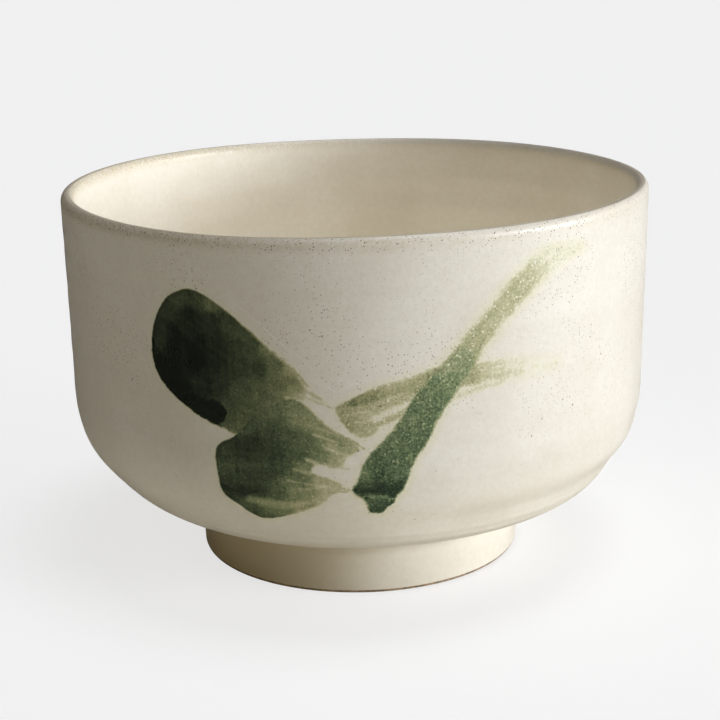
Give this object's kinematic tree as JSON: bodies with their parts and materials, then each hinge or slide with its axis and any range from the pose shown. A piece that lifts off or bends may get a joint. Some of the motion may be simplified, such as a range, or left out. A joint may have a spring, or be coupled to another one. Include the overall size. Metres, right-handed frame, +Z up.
{
  "type": "tea bowl",
  "caption": "Round footed stoneware bowl for whisked tea, with upright walls, a turned foot ring, a speckled cream glaze and green brushed leaves on the front.",
  "frame": {"origin": "centre of the foot's standing edge, on the surface the bowl rests on", "axes": "+Z up along the bowl's axis, -Y towards the brushed front, +X to the right seen from the front"},
  "size_m": [0.12, 0.12, 0.078],
  "materials": {
    "clay": "matte",
    "glaze": "satin",
    "dark_pigment": "satin",
    "green_pigment": "satin",
    "pale_pigment": "satin"
  },
  "bodies": {
    "root": {"clay_body": "clay", "foot_ring": "clay", "outer_glaze": "glaze", "inner_glaze": "glaze", "foot_well_glaze": "glaze", "upper_leaf_stroke": "dark_pigment", "lower_leaf_stroke": "dark_pigment", "stem_stroke": "green_pigment", "left_branch_stroke": "pale_pigment", "right_branch_stroke": "pale_pigment"}
  },
  "joints": []
}
